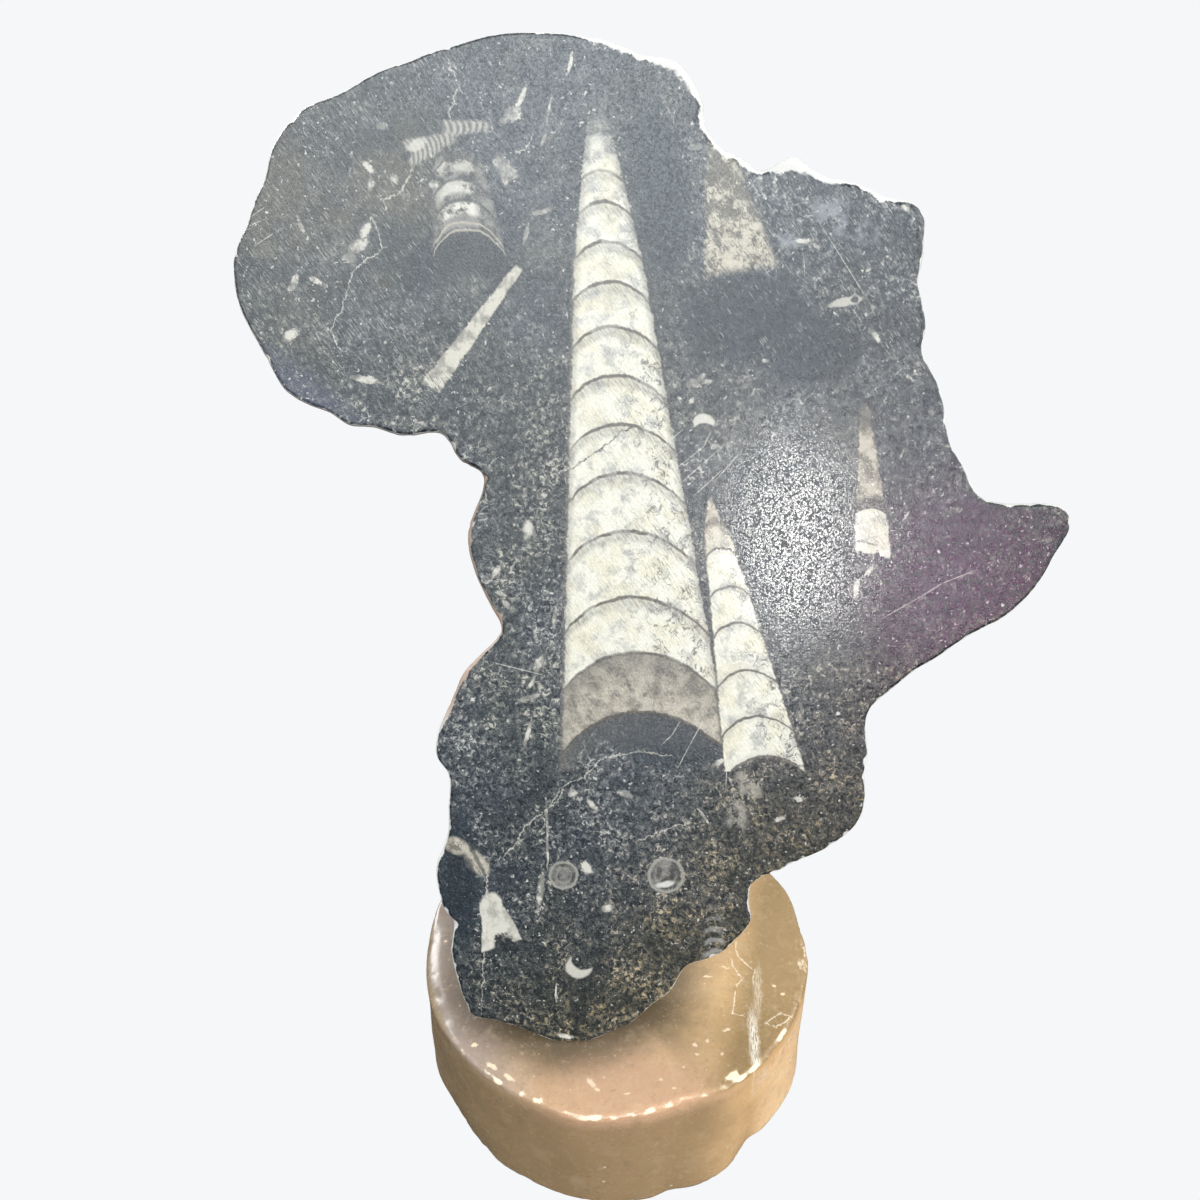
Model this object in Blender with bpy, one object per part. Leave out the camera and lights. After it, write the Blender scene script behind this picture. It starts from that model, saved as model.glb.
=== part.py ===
"""Polished slab of dark stone with orthoceras fossils, leaning back on a round stone base.

The slab's outline follows the coast of Africa. Its fossils are ground flush with its face, so they
are colour only and have no solid of their own.

Metres. The origin is the centre of the base's underside, the front is -Y and up is +Z.
"""

import math

import bmesh
import bpy
from mathutils import Matrix, Vector, noise

MM = 0.001

# Base
BASE_RADIUS = 41 * MM
BASE_HEIGHT = 30 * MM
BASE_SIDES = 96
BASE_LEVELS = 7
BASE_RIM = 0.9 * MM
BASE_WAVE_HEIGHT = 0.35 * MM
BASE_WAVE_LENGTH = 11 * MM

# Gentle swells and flats (negative) of the base's side, and nicks in its lower rim: direction and
# half width in degrees counted from +X, then the change in radius in millimetres.
TOP_SWELLS = (
    (-150, 26, 0.4),
    (-101, 13, 0.9),
    (-72, 17, -1.4),
    (-7, 16, 0.8),
    (19, 15, 1.0),
    (140, 30, 0.6),
)
BOTTOM_SWELLS = (
    (-165, 14, 0.6),
    (-146, 18, -0.9),
    (-95, 55, 0.8),
    (-60, 16, 0.6),
    (-19, 22, 1.4),
    (60, 25, -0.8),
)
LOWER_NICKS = (
    (-131, 4, -0.6),
    (-74, 5, -1.1),
    (-46, 6, -1.6),
    (12, 5, -0.9),
    (95, 7, -1.1),
    (170, 5, -0.8),
)

# Slab
SLAB_LEAN = math.radians(28)
SLAB_FOOT_X = -9.3 * MM
SLAB_FOOT_Y = -25.4 * MM
FOOT_GAP = 0.3 * MM
OUTLINE_STEPS = 2
FLAKE_WIDTH = 7 * MM
FLAKE_SLANT = 1.5
CHIP_SHARE = 0.4

# Rings of the slab's edge, front to back: depth behind the face, inset from the outline, and how
# deep the struck flakes bite there. All in millimetres, and the last ring is the back.
SLAB_THICKNESS = 12
EDGE_RINGS = (
    (0.0, 0.9, 0.5),
    (0.35, 0.1, 0.3),
    (1.1, -0.4, 0.2),
    (4.2, -0.2, 1.2),
    (7.6, 0.1, 1.8),
    (SLAB_THICKNESS - 1.4, 0.7, 1.6),
    (SLAB_THICKNESS, 1.9, 1.4),
)
# Depth of the bevel round the polished face. It is broader by BROAD_BEVEL to the right of and above
# BROAD_FROM, fading in over BROAD_FADE, all in millimetres.
BEVEL_DEPTH = 1.1
BROAD_BEVEL = 1.6
BROAD_FROM = (2, 135)
BROAD_FADE = (12, 25)

# The outline, clockwise, in millimetres across and up the slab's face. Zero is the foot.
NORTH_SHORE = (
    (-20.5, 190), (-15.5, 191.5), (-10, 192.3), (-4, 192.5), (3.5, 191.6), (9.5, 190.4),
    (13.5, 188.5), (17.5, 188), (20.5, 187), (23.5, 182.5), (24.8, 180), (24.6, 178),
    (26, 174.5), (28.5, 172), (32, 170.5), (34.5, 168.5), (36.5, 168.5), (39, 170), (42, 170.8),
    (44.5, 168.8), (47, 167.3), (53.5, 166), (58.5, 163.5), (62, 163), (64.2, 162), (65.6, 159.7),
)
RED_SEA_SHORE = (
    (65.5, 157), (65.5, 153), (64.5, 149), (65.5, 145.5), (66.5, 140), (65.5, 137), (67, 133.5),
    (69, 130), (70.5, 125), (71.5, 119), (74, 115.5), (77, 109.5), (80, 108), (84, 107.5),
    (89, 107.7), (93.5, 107), (95, 104.5),
)
HORN_SHORE = (
    (94.5, 102), (92.5, 98.5), (90, 93.5), (86.5, 89), (82, 85.5), (77, 83), (70, 78), (66.5, 76),
    (62, 72), (58.5, 69), (57.3, 66),
)
EAST_SHORE = (
    (57.6, 62), (58, 59), (57.3, 56), (57.7, 51.5), (57, 47), (54.5, 43.5), (49.5, 40), (46, 38.5),
    (43, 37), (40, 35.5), (37.3, 34.5), (35.5, 32.5), (35.2, 28.5), (35.8, 25.5), (33, 22),
    (30, 19), (26.5, 17.5), (23.5, 16.5), (22, 15), (20, 11), (16.5, 8.5), (12.5, 4.5),
)
CAPE = (
    (9, 3), (6, 1.5), (3, 0.5), (0.5, 0), (-2.5, 0.5), (-6, 1.7), (-11.5, 4), (-16, 5.2),
    (-19.2, 5.7), (-20.3, 7.5),
)
WEST_SHORE = (
    (-21.2, 10), (-22.5, 14.5), (-23.5, 20), (-22.6, 25.5), (-24.5, 27.5), (-25.7, 32),
    (-26, 36.5), (-25, 39.5), (-23.5, 43.5), (-23.5, 48), (-23, 53), (-23.5, 56), (-25.5, 58.5),
    (-25.7, 61.5), (-24.5, 65.5), (-22.5, 69.5), (-20.5, 74.5), (-18.5, 77), (-15.5, 80),
    (-12.5, 83.5), (-14, 87), (-16, 91), (-18, 96), (-19, 102), (-17.3, 107), (-15.5, 112.3),
    (-17, 114.5), (-19.7, 115.6), (-21.5, 118), (-23, 120.8),
)
GULF_AND_BULGE = (
    (-25.6, 121.5), (-29.5, 120.7), (-32.5, 121), (-36.5, 122.4), (-41, 122.6), (-44.2, 125),
    (-48, 126.3), (-52.8, 129), (-54.8, 132.5), (-56.6, 136), (-59.3, 141), (-61.2, 146),
    (-61.5, 150), (-61.2, 154), (-58.8, 158.7), (-57, 163.5), (-55, 167), (-54.2, 171),
    (-51.7, 175.4), (-47.8, 179.4), (-43, 181), (-39.2, 182.8), (-35.7, 184.8), (-32, 186.4),
    (-28.2, 187.4), (-25, 188.8),
)
OUTLINE = NORTH_SHORE + RED_SEA_SHORE + HORN_SHORE + EAST_SHORE + CAPE + WEST_SHORE + GULF_AND_BULGE


def clear_scene():
    for old in list(bpy.data.objects):
        bpy.data.objects.remove(old, do_unlink=True)


def new_collection(name):
    collection = bpy.data.collections.new(name)
    bpy.context.scene.collection.children.link(collection)
    return collection


def stone_material(name, colour, roughness):
    material = bpy.data.materials.new(name)
    material.use_nodes = True
    shader = material.node_tree.nodes["Principled BSDF"]
    shader.inputs["Base Color"].default_value = (*colour, 1)
    shader.inputs["Roughness"].default_value = roughness
    return material


def finish_object(bm, name, material, collection, sharp_angle):
    bmesh.ops.recalc_face_normals(bm, faces=bm.faces[:])
    mesh = bpy.data.meshes.new(name)
    bm.to_mesh(mesh)
    bm.free()
    mesh.shade_smooth()
    mesh.set_sharp_from_angle(angle=math.radians(sharp_angle))
    mesh.materials.append(material)
    obj = bpy.data.objects.new(name, mesh)
    collection.objects.link(obj)
    return obj


def bump(distance, half_width):
    """1 at the middle, falling smoothly to 0 at half_width."""
    reach = min(abs(distance) / half_width, 1)
    return (1 + math.cos(math.pi * reach)) / 2


def swell(direction, swells):
    """How much the swells and flats change a rim's radius in this direction."""
    total = 0
    for centre, half_width, change in swells:
        apart = (direction - centre + 180) % 360 - 180
        total += change * MM * bump(apart, half_width)
    return total


def weather_base_wall(point):
    """Moves a point of the base's side in or out to its worn, hand-ground place."""
    radius = math.hypot(point.x, point.y)
    height = point.z / BASE_HEIGHT
    direction = math.degrees(math.atan2(point.y, point.x))
    change = swell(direction, TOP_SWELLS) * height
    change += swell(direction, BOTTOM_SWELLS) * (1 - height)
    change += swell(direction, LOWER_NICKS) * (1 - height) ** 4
    change += BASE_WAVE_HEIGHT * noise.noise(point / BASE_WAVE_LENGTH)
    factor = (radius + change) / radius
    point.x *= factor
    point.y *= factor


def rise(edge):
    """The difference in height between an edge's ends."""
    return abs(edge.verts[0].co.z - edge.verts[1].co.z)


def build_base(collection):
    """A thick disc with flat ends, a slightly uneven wall and worn rims."""
    bm = bmesh.new()
    bmesh.ops.create_cone(
        bm,
        cap_ends=True,
        segments=BASE_SIDES,
        radius1=BASE_RADIUS,
        radius2=BASE_RADIUS,
        depth=BASE_HEIGHT,
        matrix=Matrix.Translation((0, 0, BASE_HEIGHT / 2)),
    )
    rims = [edge for edge in bm.edges if rise(edge) < BASE_RIM]
    bmesh.ops.bevel(bm, geom=rims, offset=BASE_RIM, segments=2, profile=0.5, affect="EDGES")
    uprights = [edge for edge in bm.edges if rise(edge) > BASE_HEIGHT / 2]
    bmesh.ops.subdivide_edges(bm, edges=uprights, cuts=BASE_LEVELS, use_grid_fill=True)
    for vert in bm.verts:
        weather_base_wall(vert.co)
    material = stone_material("honey_stone", (0.48, 0.33, 0.17), 0.4)
    return finish_object(bm, "stone_base", material, collection, 50)


def outline_loop():
    """The outline as one smooth closed loop of points, in metres in the slab's plane."""
    curve = bpy.data.curves.new("outline", "CURVE")
    curve.dimensions = "2D"
    curve.fill_mode = "NONE"
    curve.resolution_u = OUTLINE_STEPS
    spline = curve.splines.new("BEZIER")
    spline.bezier_points.add(len(OUTLINE) - 1)
    spline.use_cyclic_u = True
    for knot, (across, up) in zip(spline.bezier_points, OUTLINE):
        knot.co = (across * MM, up * MM, 0)
        knot.handle_left_type = "AUTO"
        knot.handle_right_type = "AUTO"
    guide = bpy.data.objects.new("outline_guide", curve)
    bpy.context.scene.collection.objects.link(guide)
    bpy.context.view_layer.update()
    mesh = guide.to_mesh()
    points = [vert.co.copy() for vert in mesh.vertices]
    guide.to_mesh_clear()
    bpy.data.objects.remove(guide, do_unlink=True)
    bpy.data.curves.remove(curve)
    return points


def inward_directions(points):
    """Unit directions into the slab, square to the outline at each of its points."""
    count = len(points)
    directions = []
    for index, point in enumerate(points):
        along = points[(index + 2) % count] - points[index - 2]
        directions.append(Vector((along.y, -along.x, 0)).normalized())
    return directions


def bevel_breadth(point):
    """Extra breadth, in millimetres, of the bevel between the polished face and the outline."""
    to_right = (point.x / MM - BROAD_FROM[0]) / BROAD_FADE[0]
    to_top = (point.y / MM - BROAD_FROM[1]) / BROAD_FADE[1]
    return BROAD_BEVEL * min(max(to_right, 0), 1) * min(max(to_top, 0), 1)


def edge_ring(points, directions, depth, inset, bite):
    """One loop of the slab's edge, set in from the outline by its inset and by struck flakes."""
    ring = []
    for point, direction in zip(points, directions):
        place = Vector((point.x, point.y, depth * MM * FLAKE_SLANT)) / FLAKE_WIDTH
        flake = bite * (1 + noise.noise(place)) / 2
        chip = CHIP_SHARE * bite * (1 + noise.noise(place * 3)) / 2
        extra = bevel_breadth(point) * max(0, 1 - depth / BEVEL_DEPTH)
        moved = point + direction * (inset + flake + chip + extra) * MM
        moved.z = -depth * MM
        ring.append(moved)
    return ring


def cut_flat_foot(bm):
    """Grinds the foot away level, just clear of the top of the base, and closes the cut."""
    level = Vector((0, 0, BASE_HEIGHT + FOOT_GAP))
    cut = bmesh.ops.bisect_plane(
        bm,
        geom=bm.verts[:] + bm.edges[:] + bm.faces[:],
        dist=1e-7,
        plane_co=level,
        plane_no=(0, 0, -1),
        clear_outer=True,
    )
    rim = [item for item in cut["geom_cut"] if isinstance(item, bmesh.types.BMEdge)]
    bmesh.ops.contextual_create(bm, geom=rim)


def build_slab(collection):
    """A flat slab with a struck, scalloped edge, leaning back and ground flat at its foot."""
    points = outline_loop()
    directions = inward_directions(points)
    bm = bmesh.new()
    loops = []
    for depth, inset, bite in EDGE_RINGS:
        verts = [bm.verts.new(place) for place in edge_ring(points, directions, depth, inset, bite)]
        loops.append([bm.edges.new((verts[i - 1], verts[i])) for i in range(len(verts))])
    for front, back in zip(loops, loops[1:]):
        bmesh.ops.bridge_loops(bm, edges=front + back)
    for loop in (loops[0], loops[-1]):
        bmesh.ops.contextual_create(bm, geom=loop)
    foot = Vector((SLAB_FOOT_X, SLAB_FOOT_Y, BASE_HEIGHT))
    lean = Matrix.Rotation(math.pi / 2 - SLAB_LEAN, 4, "X")
    bmesh.ops.transform(bm, matrix=Matrix.Translation(foot) @ lean, verts=bm.verts[:])
    cut_flat_foot(bm)
    material = stone_material("fossil_stone", (0.045, 0.05, 0.055), 0.25)
    return finish_object(bm, "fossil_slab", material, collection, 35)


def main():
    clear_scene()
    collection = new_collection("orthoceras_fossil_on_base")
    build_base(collection)
    build_slab(collection)


main()
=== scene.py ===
import math
from functools import reduce

import bmesh
import bpy
from mathutils import Matrix, Vector, noise


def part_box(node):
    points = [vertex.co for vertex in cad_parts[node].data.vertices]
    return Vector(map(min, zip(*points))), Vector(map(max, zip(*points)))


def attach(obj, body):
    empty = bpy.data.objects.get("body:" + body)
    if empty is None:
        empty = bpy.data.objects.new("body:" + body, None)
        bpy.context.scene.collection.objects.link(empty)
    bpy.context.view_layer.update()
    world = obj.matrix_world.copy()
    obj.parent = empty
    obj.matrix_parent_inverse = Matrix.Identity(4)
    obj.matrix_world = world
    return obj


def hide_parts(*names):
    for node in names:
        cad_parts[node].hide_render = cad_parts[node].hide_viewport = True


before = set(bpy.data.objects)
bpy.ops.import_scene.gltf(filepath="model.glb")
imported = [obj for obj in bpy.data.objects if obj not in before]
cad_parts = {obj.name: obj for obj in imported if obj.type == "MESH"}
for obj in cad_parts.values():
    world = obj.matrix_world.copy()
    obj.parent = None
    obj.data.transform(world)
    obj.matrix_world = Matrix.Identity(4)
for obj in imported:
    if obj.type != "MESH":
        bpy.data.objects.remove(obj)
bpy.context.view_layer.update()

MM = 0.001
MERGE = 1e-6

# The slab's own frame: its foot on the base, and its lean from upright. In it x runs across the
# face, y up the face and z out of it, and the polished face is at z = 0.
SLAB_LEAN = 28
SLAB_FOOT = Vector((-0.0093, -0.0254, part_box("stone_base")[1].z))
SLAB_THICKNESS = 12 * MM
SLAB_TURN = Matrix.Rotation(math.radians(90 - SLAB_LEAN), 4, "X")
SLAB_PLACE = Matrix.Translation(SLAB_FOOT) @ SLAB_TURN
FOOT_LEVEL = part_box("fossil_slab")[0].z

BASE_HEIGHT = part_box("stone_base")[1].z
BASE_RADIUS = 41 * MM


# ---- shader values


def tint(red, green, blue):
    """A colour given as it is seen, 0 to 255, as the shader's own linear numbers."""
    seen = [channel / 255 for channel in (red, green, blue)]
    return tuple(c / 12.92 if c <= 0.04045 else ((c + 0.055) / 1.055) ** 2.4 for c in seen)


class Recipe:
    """The nodes of one material, or of the studio's sky. Noises on a flat face need only two
    dimensions, which are quicker."""

    def __init__(self, tree, dimensions="3D"):
        self.tree = tree
        self.dimensions = dimensions
        tree.nodes.clear()

    def node(self, kind, settings=None, inputs=None, out=0):
        """A new node, with its settings set before its inputs, as one of its outputs."""
        made = self.tree.nodes.new(kind if kind.startswith("NodeGroup") else "ShaderNode" + kind)
        for name, value in (settings or {}).items():
            if name == "stops":
                self.set_stops(made.color_ramp, value)
            else:
                setattr(made, name, value)
        for name, value in (inputs or {}).items():
            socket = made.inputs[name]
            if isinstance(value, Value):
                self.tree.links.new(value.socket, socket)
            elif isinstance(value, tuple) and socket.type == "RGBA":
                socket.default_value = (*value, 1)
            else:
                socket.default_value = value
        return Value(self, made.outputs[out]) if made.outputs else made

    def set_stops(self, ramp, stops):
        while len(ramp.elements) < len(stops):
            ramp.elements.new(0.5)
        for element, (place, colour) in zip(ramp.elements, stops):
            element.position = place
            element.color = (*colour, 1)

    def mix(self, share, first, second, blend="MIX"):
        """Colours: the first where share is 0, the second where it is 1."""
        settings = {"data_type": "RGBA", "blend_type": blend}
        return self.node("Mix", settings, {0: share, 6: first, 7: second}, out=2)

    def either(self, share, first, second):
        """Surfaces: the first where share is 0, the second where it is 1."""
        return self.node("MixShader", None, {0: share, 1: first, 2: second})

    def attribute(self, name):
        """A number that the mesh holds at each vertex."""
        return self.node("Attribute", {"attribute_name": name}, out=2)

    def bump(self, height, distance, strength):
        inputs = {"Strength": strength, "Distance": distance, "Height": height}
        return self.node("Bump", None, inputs)

    def surface(self, colour, roughness, bump, **more):
        inputs = {"Base Color": colour, "Roughness": roughness, "Normal": bump, "IOR": 1.5}
        return self.node("BsdfPrincipled", None, {**inputs, **more})

    def finish(self, surface):
        self.node("OutputMaterial", None, {0: surface})
        return self.material

    def dot(self, first, second):
        settings = {"operation": "DOT_PRODUCT"}
        return self.node("VectorMath", settings, {0: first, 1: second}, out=1)

    def parts(self, kind, whole):
        outputs = self.node(kind, None, {0: whole}).socket.node.outputs
        return [Value(self, output) for output in outputs]

    def across_up_out(self, place):
        return self.parts("SeparateXYZ", place)

    def joined(self, across, up, out=1):
        return self.node("CombineXYZ", None, {0: across, 1: up, 2: out})

    def flattened(self, place):
        """place with a depth of 1, so that a dot product reads the distance to a line."""
        across, up, _out = self.across_up_out(place)
        return self.joined(across, up)

    def clouds(self, place, size, detail=3, rough=0.5, distortion=0, out=0):
        """Noise from about 0.25 to 0.75, with lumps of the given size."""
        return self.node(
            "TexNoise", {"noise_dimensions": self.dimensions},
            {"Vector": place, "Scale": 1 / size, "Detail": detail, "Roughness": rough,
             "Distortion": distortion}, out,
        )

    def cells(self, place, size):
        """For each of many scattered points: the distance to it and three numbers of its own."""
        settings = {"voronoi_dimensions": self.dimensions}
        near = self.node("TexVoronoi", settings, {"Vector": place, "Scale": 1 / size})
        return near, self.parts("SeparateColor", Value(self, near.socket.node.outputs[1]))

    def flecks(self, place, size, reach, soft, fewest):
        """Scattered flecks with edges of width soft. The higher fewest is, the fewer they are."""
        near, pick = self.cells(place, size)
        return (pick[0] * reach - near).rise(-0.02, soft) * pick[1].rise(fewest, 1)

    def moved(self, place, centre=(0, 0, 0), turn=0, size=(1, 1, 1), lean=0):
        """place seen from a shape's own centre, turned, leant and scaled to its half sizes."""
        return self.node(
            "Mapping", {"vector_type": "TEXTURE"},
            {"Vector": place, "Location": tuple(centre), "Scale": size,
             "Rotation": (math.radians(lean), 0, math.radians(turn))},
        )

    def millimetres(self, **moves):
        """Places in millimetres, in the scene's frame or one moved from it."""
        return self.moved(self.node("TexCoord", out=3), size=(MM, MM, MM), **moves)

    def shaken(self, place, size, reach, detail=3, rough=0.6):
        """place, moved a little every way by clouds of the given size."""
        clouds = self.parts("SeparateColor", self.clouds(place, size, detail, rough, out=1))
        drift = self.joined(*(channel - 0.5 for channel in clouds))
        settings = {"operation": "MULTIPLY_ADD"}
        return self.node("VectorMath", settings, {0: drift, 1: reach, 2: place})


def acts(operation, turned=False):
    """A method that adds one Math node, which reads its own value last if turned."""

    def method(self, *others):
        values = (*others, self) if turned else (self, *others)
        return self.recipe.node("Math", {"operation": operation}, dict(enumerate(values)))

    return method


class Value:
    """A shader value. Arithmetic on it adds Math nodes."""

    def __init__(self, recipe, socket):
        self.recipe = recipe
        self.socket = socket

    __add__ = __radd__ = acts("ADD")
    __sub__ = acts("SUBTRACT")
    __rsub__ = acts("SUBTRACT", turned=True)
    __mul__ = __rmul__ = acts("MULTIPLY")
    __truediv__ = acts("DIVIDE")
    __abs__ = acts("ABSOLUTE")
    least = acts("MINIMUM")
    most = acts("MAXIMUM")
    root = acts("SQRT")
    wave = acts("SINE")
    times_plus = acts("MULTIPLY_ADD")
    # 1 above a level and 0 below it, with no passage between.
    above = acts("GREATER_THAN")

    def rise(self, low, high):
        """0 at low and 1 at high, with a soft passage. It falls where low is above high."""
        return self.recipe.node(
            "MapRange", {"interpolation_type": "SMOOTHSTEP"},
            {"Value": self, "From Min": low, "From Max": high},
        )


def material_recipe(name, dimensions="3D"):
    material = bpy.data.materials.new(name)
    material.use_nodes = True
    recipe = Recipe(material.node_tree, dimensions)
    recipe.material = material
    return recipe


SOCKET_KINDS = {"VALUE": "NodeSocketFloat", "VECTOR": "NodeSocketVector", "RGBA": "NodeSocketColor"}


def apart(r, name, given, work):
    """A colour worked out in a node group of its own, as one long tree is slow to write. given
    are the values that it reads, by name, and work gets the group's own copies of them."""
    tree = bpy.data.node_groups.new(name, "ShaderNodeTree")
    inner = Recipe(tree, r.dimensions)
    for key, value in given.items():
        kind = SOCKET_KINDS[value.socket.type]
        tree.interface.new_socket(key, in_out="INPUT", socket_type=kind)
    tree.interface.new_socket("colour", in_out="OUTPUT", socket_type="NodeSocketColor")
    start = inner.node("NodeGroupInput").socket.node
    own = {key: Value(inner, output) for key, output in zip(given, start.outputs)}
    inner.node("NodeGroupOutput", None, {0: work(inner, own)})
    return r.node("Group", {"node_tree": tree}, given)


# ---- the slab's stone

# Every place and size here is in millimetres in the slab's frame: across, then up from the foot.

MAIN_CONE_TIP = 180
MAIN_SEPTA = (168.5, 162.9, 155.8, 148.6, 140.5, 131.6, 122.6, 113.5, 102.6, 90, 79.4, 67.7)
SECOND_CONE_TIP = 110.3
SECOND_SEPTA = (99.5, 92.1, 85, 75.9, 66.9, 59)
SEPTUM_ARC = 1.23

# Smooth dark patches with little shell dust: place, half sizes, and turn in degrees if any.
CALM_PATCHES = (
    (33, 142, 11, 7.5, 10), (17, 165, 4.5, 14, 8), (-29, 154, 6, 7), (45, 136, 9, 6),
    (-31, 175, 8, 3, 20), (-21.5, 34, 3.4, 12), (34.5, 105, 3, 12), (20, 62, 9, 5),
    (43, 100, 9, 15, 8),
)
# Bits of pale shell: place, half length, half width, and turn if any.
SHELL_BITS = (
    (-9.9, 178.3, 1.5, 1.1, 20), (-8.3, 181, 2.2, 0.4, 62), (-11.3, 168.9, 2.3, 1.2, -40),
    (-11.4, 167.2, 1.2, 0.6, -80), (-3.2, 179.1, 2.2, 0.25, 80), (-4.2, 173.9, 1.2, 0.25, 70),
    (-31.4, 166.9, 0.9, 0.6, -40), (-24.3, 165.9, 0.7, 0.6), (-7.6, 157.1, 1.8, 0.3, 75),
    (-4.4, 161.2, 1.9, 0.45, 15), (-33.6, 176.2, 0.9, 0.6), (-36.1, 168.9, 1.2, 0.5, -50),
    (-35.9, 165.9, 1, 0.5, 90), (-48.7, 158.4, 0.8, 0.35, -60), (-37, 157.9, 1.3, 0.8, 60),
    (-38.4, 155, 1.7, 1, 30), (-40.1, 152.9, 1.2, 0.8), (-50.5, 148.3, 1.4, 0.6, 60),
    (-46.5, 148.8, 1.3, 0.4, -30), (-51.4, 138.9, 1.4, 0.7, 40), (-37.7, 130.9, 2.8, 0.6, -12),
    (-11.4, 177.1, 0.8, 0.5), (23.8, 172.5, 0.8, 0.5), (43.3, 156, 1.2, 0.4),
    (45.7, 155, 0.6, 0.3, -30), (55.4, 150.9, 0.45, 0.3, 40), (61.9, 161.8, 0.7, 0.6),
    (36.8, 134.3, 0.6, 0.4), (62.7, 117.3, 1, 0.2, 70), (63.8, 105.4, 0.9, 0.25, 60),
    (54.8, 91.7, 1.6, 0.5, 80), (57.2, 95.3, 1.4, 0.35, 60), (57, 139, 1.6, 0.4, -50),
    (-2.6, 86.2, 2.2, 0.35, 84), (-5.7, 77.2, 1.6, 0.7, 70), (-7, 73.8, 1.4, 0.3, 70),
    (-8.1, 63, 2.3, 0.35, 78), (-7.6, 70.6, 1.9, 0.45, 20), (-12.9, 90.7, 1, 0.4, -20),
    (-11.8, 88.6, 0.9, 0.5, -50), (-13.6, 95, 1.3, 0.5, 60), (-7.6, 102.8, 0.8, 1.8),
    (7.4, 28.3, 1.2, 0.7, 20), (3.3, 36.6, 1.4, 0.9, -40), (-0.8, 1.7, 1.4, 0.4, -10),
    (11, 51.5, 1.3, 0.6, -20), (4.6, 49.3, 0.5, 1.3, 45), (29, 57.7, 1, 0.45, 30),
    (23.7, 130.2, 1, 0.6, -30), (24.9, 131.3, 0.9, 0.5, 40), (25.9, 130.4, 0.9, 0.4),
    (23, 127, 0.7, 0.4, 60), (0.6, 187.2, 1.9, 0.35, 80), (0.6, 51.7, 0.8, 0.7),
    (41.2, 46.5, 1.1, 0.5, 30), (44.6, 50.5, 0.8, 0.4, -20), (-4.4, 43.4, 6.2, 0.22, 91),
    (-5.6, 32.4, 3.2, 0.55, 82), (-2.7, 10.7, 2, 0.15, 90), (26.2, 47, 1.7, 0.2, -52),
)
# Pale veins, point by point.
VEINS = (
    ((-21.4, 187.4), (-19.6, 183.1), (-20.5, 181.1), (-19.9, 180.1), (-21.4, 179.3),
     (-21.2, 177.8)),
    ((-28.3, 168.2), (-30.2, 164.6), (-32.3, 163.7), (-33.5, 162.8), (-33, 161.4)),
    ((-35.2, 159.2), (-34.3, 156.2), (-33.9, 154.4), (-37.7, 151.9), (-39.6, 150.3),
     (-40.4, 147.8), (-41.7, 143.6), (-44, 139.8), (-42.2, 136.2)),
    ((-12.8, 39), (-10.4, 41.4), (-9, 44.7), (-5.1, 47.7), (-2.2, 50.1), (-1, 52.9),
     (3.3, 55.5), (7, 58.7), (13.8, 60.1), (19.8, 59.1)),
    ((13.8, 42.2), (17.7, 43.9), (23, 45.9)), ((-2.2, 51.7), (-5.1, 46.9), (-4.3, 44.7)),
    ((-6.2, 174.7), (-7.1, 172.5), (-9, 171.5)), ((-16, 36.8), (-16.6, 26), (-17.5, 8.7)),
    ((9.2, 111.1), (11.1, 109.3), (13.5, 110.6), (15.8, 109.1)),
)
# The dark crack across a chamber of the main cone.
CRACK = (((0.7, 114.3), (3.6, 116.4), (7.9, 119.2), (9.9, 121.4), (12.4, 122.1)),)
# Fine scratches, point by point.
SCRATCHES = (
    ((28.7, 118.2), (25.8, 115.8), (21.3, 111.7), (15.1, 107)),
    ((26.6, 121), (25.5, 118.6), (22.9, 116.4), (19.5, 113.8)),
    ((28.6, 113.8), (26.3, 111.7), (24, 109.6)), ((21.2, 121.4), (18.8, 119.4)),
    ((15.8, 117.7), (18, 118.8)), ((21.3, 65.6), (19.9, 63.2), (18.2, 61.6)),
    ((25.7, 65.6), (23.4, 61.3), (21.3, 57.1)), ((31.9, 61.3), (30.6, 58.3), (30.5, 53.3)),
    ((-13.9, 77.3), (-5.3, 75.1)), ((-57.5, 160.5), (-55.5, 161.8)),
    ((-58.1, 158.7), (-56.3, 159.4)), ((-57.2, 155.2), (-54.3, 157)),
    ((43.5, 152.8), (43.7, 150.1)), ((28, 112.5), (32, 117)),
    ((60.8, 86.5), (65.8, 89.4), (71.1, 92.7), (76.5, 94.9)), ((47, 158), (55, 146)),
)
CREAM = (0.5, 0.49, 0.43)
DARK_LINE = (0.06, 0.055, 0.048)


def nearest(value, places):
    """Distance from value to the nearest of several places."""
    return reduce(Value.least, [abs(value - place) for place in places])


def to_oval(r, flat, across, up, long, wide, turn=0):
    """The square of the distance from an oval's middle, with 1 at its edge."""
    c, s = math.cos(math.radians(turn)), math.sin(math.radians(turn))
    along = r.dot(flat, (c / long, s / long, -(c * across + s * up) / long))
    side = r.dot(flat, (-s / wide, c / wide, (s * across - c * up) / wide))
    return along.times_plus(along, side * side)


def links_of(lines, width):
    """Each stretch of several broken lines as one thin oval."""
    shapes = []
    for line in lines:
        for (u1, v1), (u2, v2) in zip(line, line[1:]):
            long = math.hypot(u2 - u1, v2 - v1) / 2
            turn = math.degrees(math.atan2(v2 - v1, u2 - u1))
            shapes.append(((u1 + u2) / 2, (v1 + v2) / 2, long * 1.12 + width, width, turn))
    return shapes


def inside_of(shapes, part):
    """The shapes that reach into one part of the face, given as left, foot, right and top."""
    left, foot, right, top = part

    def reaches(across, up, long, wide, _turn=0):
        reach = max(long, wide) + 1.8
        return left - reach < across < right + reach and foot - reach < up < top + reach

    return [shape for shape in shapes if reaches(*shape)]


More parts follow.
